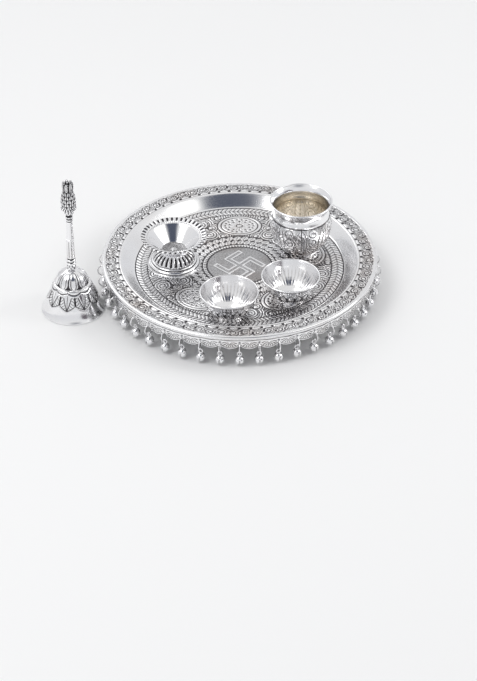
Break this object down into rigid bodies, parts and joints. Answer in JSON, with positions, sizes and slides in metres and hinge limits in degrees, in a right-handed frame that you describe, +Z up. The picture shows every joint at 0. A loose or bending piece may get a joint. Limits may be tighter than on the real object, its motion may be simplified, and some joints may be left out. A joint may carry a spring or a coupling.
{
  "type": "puja thali set",
  "caption": "Footed round ritual tray with a scalloped skirt and a fringe of jingle bells, carrying a water pot, an oil lamp and bowls, with a hand bell beside it.",
  "frame": {"origin": "middle of the set's footprint, on the surface that it stands on", "axes": "+X to the right of the tray as seen in the picture, +Y away from the viewer, +Z up"},
  "size_m": [0.313, 0.2629, 0.1361],
  "materials": {
    "silver_plate": "silver-plated and polished, with oxidised recesses",
    "steel_wire": "drawn wire",
    "bell_metal": "cast bell metal"
  },
  "bodies": {
    "thali": {"thali_tray": "silver_plate", "rim_wire": "steel_wire", "scalloped_skirt": "silver_plate", "foot_ring": "silver_plate"},
    "kalash": {"kalash": "silver_plate"},
    "diya": {"diya_base": "silver_plate", "diya_cup": "silver_plate", "diya_rivet": "steel_wire"},
    "bowl_left": {"bowl_left": "silver_plate"},
    "bowl_right": {"bowl_right": "silver_plate"},
    "hand_bell": {"bell_body": "silver_plate", "bell_handle": "silver_plate", "bell_finial": "silver_plate", "clapper_staple": "steel_wire"},
    "clapper": {"clapper": "bell_metal"},
    "ghungroo_01": {"ghungroo_01": "silver_plate"},
    "ghungroo_02": {"ghungroo_02": "silver_plate"},
    "ghungroo_03": {"ghungroo_03": "silver_plate"},
    "ghungroo_04": {"ghungroo_04": "silver_plate"},
    "ghungroo_05": {"ghungroo_05": "silver_plate"},
    "ghungroo_06": {"ghungroo_06": "silver_plate"},
    "ghungroo_07": {"ghungroo_07": "silver_plate"},
    "ghungroo_08": {"ghungroo_08": "silver_plate"},
    "ghungroo_09": {"ghungroo_09": "silver_plate"},
    "ghungroo_10": {"ghungroo_10": "silver_plate"},
    "ghungroo_11": {"ghungroo_11": "silver_plate"},
    "ghungroo_12": {"ghungroo_12": "silver_plate"},
    "ghungroo_13": {"ghungroo_13": "silver_plate"},
    "ghungroo_14": {"ghungroo_14": "silver_plate"},
    "ghungroo_15": {"ghungroo_15": "silver_plate"},
    "ghungroo_16": {"ghungroo_16": "silver_plate"},
    "ghungroo_17": {"ghungroo_17": "silver_plate"},
    "ghungroo_18": {"ghungroo_18": "silver_plate"},
    "ghungroo_19": {"ghungroo_19": "silver_plate"},
    "ghungroo_20": {"ghungroo_20": "silver_plate"},
    "ghungroo_21": {"ghungroo_21": "silver_plate"},
    "ghungroo_22": {"ghungroo_22": "silver_plate"},
    "ghungroo_23": {"ghungroo_23": "silver_plate"},
    "ghungroo_24": {"ghungroo_24": "silver_plate"},
    "ghungroo_25": {"ghungroo_25": "silver_plate"},
    "ghungroo_26": {"ghungroo_26": "silver_plate"},
    "ghungroo_27": {"ghungroo_27": "silver_plate"},
    "ghungroo_28": {"ghungroo_28": "silver_plate"},
    "ghungroo_29": {"ghungroo_29": "silver_plate"},
    "ghungroo_30": {"ghungroo_30": "silver_plate"},
    "ghungroo_31": {"ghungroo_31": "silver_plate"},
    "ghungroo_32": {"ghungroo_32": "silver_plate"},
    "ghungroo_33": {"ghungroo_33": "silver_plate"},
    "ghungroo_34": {"ghungroo_34": "silver_plate"},
    "ghungroo_35": {"ghungroo_35": "silver_plate"},
    "ghungroo_36": {"ghungroo_36": "silver_plate"},
    "ghungroo_37": {"ghungroo_37": "silver_plate"},
    "ghungroo_38": {"ghungroo_38": "silver_plate"},
    "ghungroo_39": {"ghungroo_39": "silver_plate"},
    "ghungroo_40": {"ghungroo_40": "silver_plate"},
    "ghungroo_41": {"ghungroo_41": "silver_plate"},
    "ghungroo_42": {"ghungroo_42": "silver_plate"},
    "ghungroo_43": {"ghungroo_43": "silver_plate"},
    "ghungroo_44": {"ghungroo_44": "silver_plate"},
    "ghungroo_45": {"ghungroo_45": "silver_plate"}
  },
  "joints": [
    {"name": "kalash_lift", "type": "slide", "parent": "thali", "child": "kalash", "axis": [0, 0, 1], "range_m": [0, 0.12]},
    {"name": "diya_lift", "type": "slide", "parent": "thali", "child": "diya", "axis": [0, 0, 1], "range_m": [0, 0.12]},
    {"name": "bowl_left_lift", "type": "slide", "parent": "thali", "child": "bowl_left", "axis": [0, 0, 1], "range_m": [0, 0.12]},
    {"name": "bowl_right_lift", "type": "slide", "parent": "thali", "child": "bowl_right", "axis": [0, 0, 1], "range_m": [0, 0.12]},
    {"name": "bell_lift", "type": "slide", "parent": "thali", "child": "hand_bell", "axis": [-0.6867, -0.1687, 0.7071], "range_m": [0, 0.12]},
    {"name": "clapper_swing", "type": "hinge", "parent": "hand_bell", "child": "clapper", "pos_m": [-0.12753, -0.03745, 0.0326], "axis": [1, 0, 0], "range_deg": [-44.5, 44.5]},
    {"name": "ghungroo_01_swing", "type": "hinge", "parent": "thali", "child": "ghungroo_01", "pos_m": [0.02493, -0.1254, 0.0243], "axis": [0, -1, 0], "range_deg": [-25, 25]},
    {"name": "ghungroo_02_swing", "type": "hinge", "parent": "thali", "child": "ghungroo_02", "pos_m": [0.04238, -0.12418, 0.0243], "axis": [0.1392, -0.9903, 0], "range_deg": [-25, 25]},
    {"name": "ghungroo_03_swing", "type": "hinge", "parent": "thali", "child": "ghungroo_03", "pos_m": [0.05949, -0.12054, 0.0243], "axis": [0.2756, -0.9613, 0], "range_deg": [-25, 25]},
    {"name": "ghungroo_04_swing", "type": "hinge", "parent": "thali", "child": "ghungroo_04", "pos_m": [0.07594, -0.11456, 0.0243], "axis": [0.4067, -0.9135, 0], "range_deg": [-25, 25]},
    {"name": "ghungroo_05_swing", "type": "hinge", "parent": "thali", "child": "ghungroo_05", "pos_m": [0.09138, -0.10634, 0.0243], "axis": [0.5299, -0.848, 0], "range_deg": [-25, 25]},
    {"name": "ghungroo_06_swing", "type": "hinge", "parent": "thali", "child": "ghungroo_06", "pos_m": [0.10554, -0.09606, 0.0243], "axis": [0.6428, -0.766, 0], "range_deg": [-25, 25]},
    {"name": "ghungroo_07_swing", "type": "hinge", "parent": "thali", "child": "ghungroo_07", "pos_m": [0.11812, -0.08391, 0.0243], "axis": [0.7431, -0.6691, 0], "range_deg": [-25, 25]},
    {"name": "ghungroo_08_swing", "type": "hinge", "parent": "thali", "child": "ghungroo_08", "pos_m": [0.12889, -0.07012, 0.0243], "axis": [0.829, -0.5592, 0], "range_deg": [-25, 25]},
    {"name": "ghungroo_09_swing", "type": "hinge", "parent": "thali", "child": "ghungroo_09", "pos_m": [0.13764, -0.05497, 0.0243], "axis": [0.8988, -0.4384, 0], "range_deg": [-25, 25]},
    {"name": "ghungroo_10_swing", "type": "hinge", "parent": "thali", "child": "ghungroo_10", "pos_m": [0.14419, -0.03875, 0.0243], "axis": [0.9511, -0.309, 0], "range_deg": [-25, 25]},
    {"name": "ghungroo_11_swing", "type": "hinge", "parent": "thali", "child": "ghungroo_11", "pos_m": [0.14843, -0.02177, 0.0243], "axis": [0.9848, -0.1736, 0], "range_deg": [-25, 25]},
    {"name": "ghungroo_12_swing", "type": "hinge", "parent": "thali", "child": "ghungroo_12", "pos_m": [0.15025, -0.00438, 0.0243], "axis": [0.9994, -0.0349, 0], "range_deg": [-25, 25]},
    {"name": "ghungroo_13_swing", "type": "hinge", "parent": "thali", "child": "ghungroo_13", "pos_m": [0.14964, 0.01311, 0.0243], "axis": [0.9945, 0.1045, 0], "range_deg": [-25, 25]},
    {"name": "ghungroo_14_swing", "type": "hinge", "parent": "thali", "child": "ghungroo_14", "pos_m": [0.14661, 0.03034, 0.0243], "axis": [0.9703, 0.2419, 0], "range_deg": [-25, 25]},
    {"name": "ghungroo_15_swing", "type": "hinge", "parent": "thali", "child": "ghungroo_15", "pos_m": [0.1412, 0.04698, 0.0243], "axis": [0.9272, 0.3746, 0], "range_deg": [-25, 25]},
    {"name": "ghungroo_16_swing", "type": "hinge", "parent": "thali", "child": "ghungroo_16", "pos_m": [0.13353, 0.0627, 0.0243], "axis": [0.866, 0.5, 0], "range_deg": [-25, 25]},
    {"name": "ghungroo_17_swing", "type": "hinge", "parent": "thali", "child": "ghungroo_17", "pos_m": [0.12375, 0.0772, 0.0243], "axis": [0.788, 0.6157, 0], "range_deg": [-25, 25]},
    {"name": "ghungroo_18_swing", "type": "hinge", "parent": "thali", "child": "ghungroo_18", "pos_m": [0.11204, 0.0902, 0.0243], "axis": [0.6947, 0.7193, 0], "range_deg": [-25, 25]},
    {"name": "ghungroo_19_swing", "type": "hinge", "parent": "thali", "child": "ghungroo_19", "pos_m": [0.09864, 0.10145, 0.0243], "axis": [0.5878, 0.809, 0], "range_deg": [-25, 25]},
    {"name": "ghungroo_20_swing", "type": "hinge", "parent": "thali", "child": "ghungroo_20", "pos_m": [0.0838, 0.11072, 0.0243], "axis": [0.4695, 0.8829, 0], "range_deg": [-25, 25]},
    {"name": "ghungroo_21_swing", "type": "hinge", "parent": "thali", "child": "ghungroo_21", "pos_m": [0.06782, 0.11784, 0.0243], "axis": [0.342, 0.9397, 0], "range_deg": [-25, 25]},
    {"name": "ghungroo_22_swing", "type": "hinge", "parent": "thali", "child": "ghungroo_22", "pos_m": [0.051, 0.12266, 0.0243], "axis": [0.2079, 0.9781, 0], "range_deg": [-25, 25]},
    {"name": "ghungroo_23_swing", "type": "hinge", "parent": "thali", "child": "ghungroo_23", "pos_m": [0.03368, 0.1251, 0.0243], "axis": [0.0698, 0.9976, 0], "range_deg": [-25, 25]},
    {"name": "ghungroo_24_swing", "type": "hinge", "parent": "thali", "child": "ghungroo_24", "pos_m": [0.01618, 0.1251, 0.0243], "axis": [-0.0698, 0.9976, 0], "range_deg": [-25, 25]},
    {"name": "ghungroo_25_swing", "type": "hinge", "parent": "thali", "child": "ghungroo_25", "pos_m": [-0.00114, 0.12266, 0.0243], "axis": [-0.2079, 0.9781, 0], "range_deg": [-25, 25]},
    {"name": "ghungroo_26_swing", "type": "hinge", "parent": "thali", "child": "ghungroo_26", "pos_m": [-0.01796, 0.11784, 0.0243], "axis": [-0.342, 0.9397, 0], "range_deg": [-25, 25]},
    {"name": "ghungroo_27_swing", "type": "hinge", "parent": "thali", "child": "ghungroo_27", "pos_m": [-0.03394, 0.11072, 0.0243], "axis": [-0.4695, 0.8829, 0], "range_deg": [-25, 25]},
    {"name": "ghungroo_28_swing", "type": "hinge", "parent": "thali", "child": "ghungroo_28", "pos_m": [-0.04878, 0.10145, 0.0243], "axis": [-0.5878, 0.809, 0], "range_deg": [-25, 25]},
    {"name": "ghungroo_29_swing", "type": "hinge", "parent": "thali", "child": "ghungroo_29", "pos_m": [-0.06218, 0.0902, 0.0243], "axis": [-0.6947, 0.7193, 0], "range_deg": [-25, 25]},
    {"name": "ghungroo_30_swing", "type": "hinge", "parent": "thali", "child": "ghungroo_30", "pos_m": [-0.07389, 0.0772, 0.0243], "axis": [-0.788, 0.6157, 0], "range_deg": [-25, 25]},
    {"name": "ghungroo_31_swing", "type": "hinge", "parent": "thali", "child": "ghungroo_31", "pos_m": [-0.08367, 0.0627, 0.0243], "axis": [-0.866, 0.5, 0], "range_deg": [-25, 25]},
    {"name": "ghungroo_32_swing", "type": "hinge", "parent": "thali", "child": "ghungroo_32", "pos_m": [-0.09134, 0.04698, 0.0243], "axis": [-0.9272, 0.3746, 0], "range_deg": [-25, 25]},
    {"name": "ghungroo_33_swing", "type": "hinge", "parent": "thali", "child": "ghungroo_33", "pos_m": [-0.09674, 0.03034, 0.0243], "axis": [-0.9703, 0.2419, 0], "range_deg": [-25, 25]},
    {"name": "ghungroo_34_swing", "type": "hinge", "parent": "thali", "child": "ghungroo_34", "pos_m": [-0.09978, 0.01311, 0.0243], "axis": [-0.9945, 0.1045, 0], "range_deg": [-25, 25]},
    {"name": "ghungroo_35_swing", "type": "hinge", "parent": "thali", "child": "ghungroo_35", "pos_m": [-0.10039, -0.00438, 0.0243], "axis": [-0.9994, -0.0349, 0], "range_deg": [-25, 25]},
    {"name": "ghungroo_36_swing", "type": "hinge", "parent": "thali", "child": "ghungroo_36", "pos_m": [-0.09856, -0.02177, 0.0243], "axis": [-0.9848, -0.1736, 0], "range_deg": [-25, 25]},
    {"name": "ghungroo_37_swing", "type": "hinge", "parent": "thali", "child": "ghungroo_37", "pos_m": [-0.09433, -0.03875, 0.0243], "axis": [-0.9511, -0.309, 0], "range_deg": [-25, 25]},
    {"name": "ghungroo_38_swing", "type": "hinge", "parent": "thali", "child": "ghungroo_38", "pos_m": [-0.08778, -0.05497, 0.0243], "axis": [-0.8988, -0.4384, 0], "range_deg": [-25, 25]},
    {"name": "ghungroo_39_swing", "type": "hinge", "parent": "thali", "child": "ghungroo_39", "pos_m": [-0.07903, -0.07012, 0.0243], "axis": [-0.829, -0.5592, 0], "range_deg": [-25, 25]},
    {"name": "ghungroo_40_swing", "type": "hinge", "parent": "thali", "child": "ghungroo_40", "pos_m": [-0.06826, -0.08391, 0.0243], "axis": [-0.7431, -0.6691, 0], "range_deg": [-25, 25]},
    {"name": "ghungroo_41_swing", "type": "hinge", "parent": "thali", "child": "ghungroo_41", "pos_m": [-0.05568, -0.09606, 0.0243], "axis": [-0.6428, -0.766, 0], "range_deg": [-25, 25]},
    {"name": "ghungroo_42_swing", "type": "hinge", "parent": "thali", "child": "ghungroo_42", "pos_m": [-0.04152, -0.10634, 0.0243], "axis": [-0.5299, -0.848, 0], "range_deg": [-25, 25]},
    {"name": "ghungroo_43_swing", "type": "hinge", "parent": "thali", "child": "ghungroo_43", "pos_m": [-0.02608, -0.11456, 0.0243], "axis": [-0.4067, -0.9135, 0], "range_deg": [-25, 25]},
    {"name": "ghungroo_44_swing", "type": "hinge", "parent": "thali", "child": "ghungroo_44", "pos_m": [-0.00963, -0.12054, 0.0243], "axis": [-0.2756, -0.9613, 0], "range_deg": [-25, 25]},
    {"name": "ghungroo_45_swing", "type": "hinge", "parent": "thali", "child": "ghungroo_45", "pos_m": [0.00748, -0.12418, 0.0243], "axis": [-0.1392, -0.9903, 0], "range_deg": [-25, 25]}
  ]
}
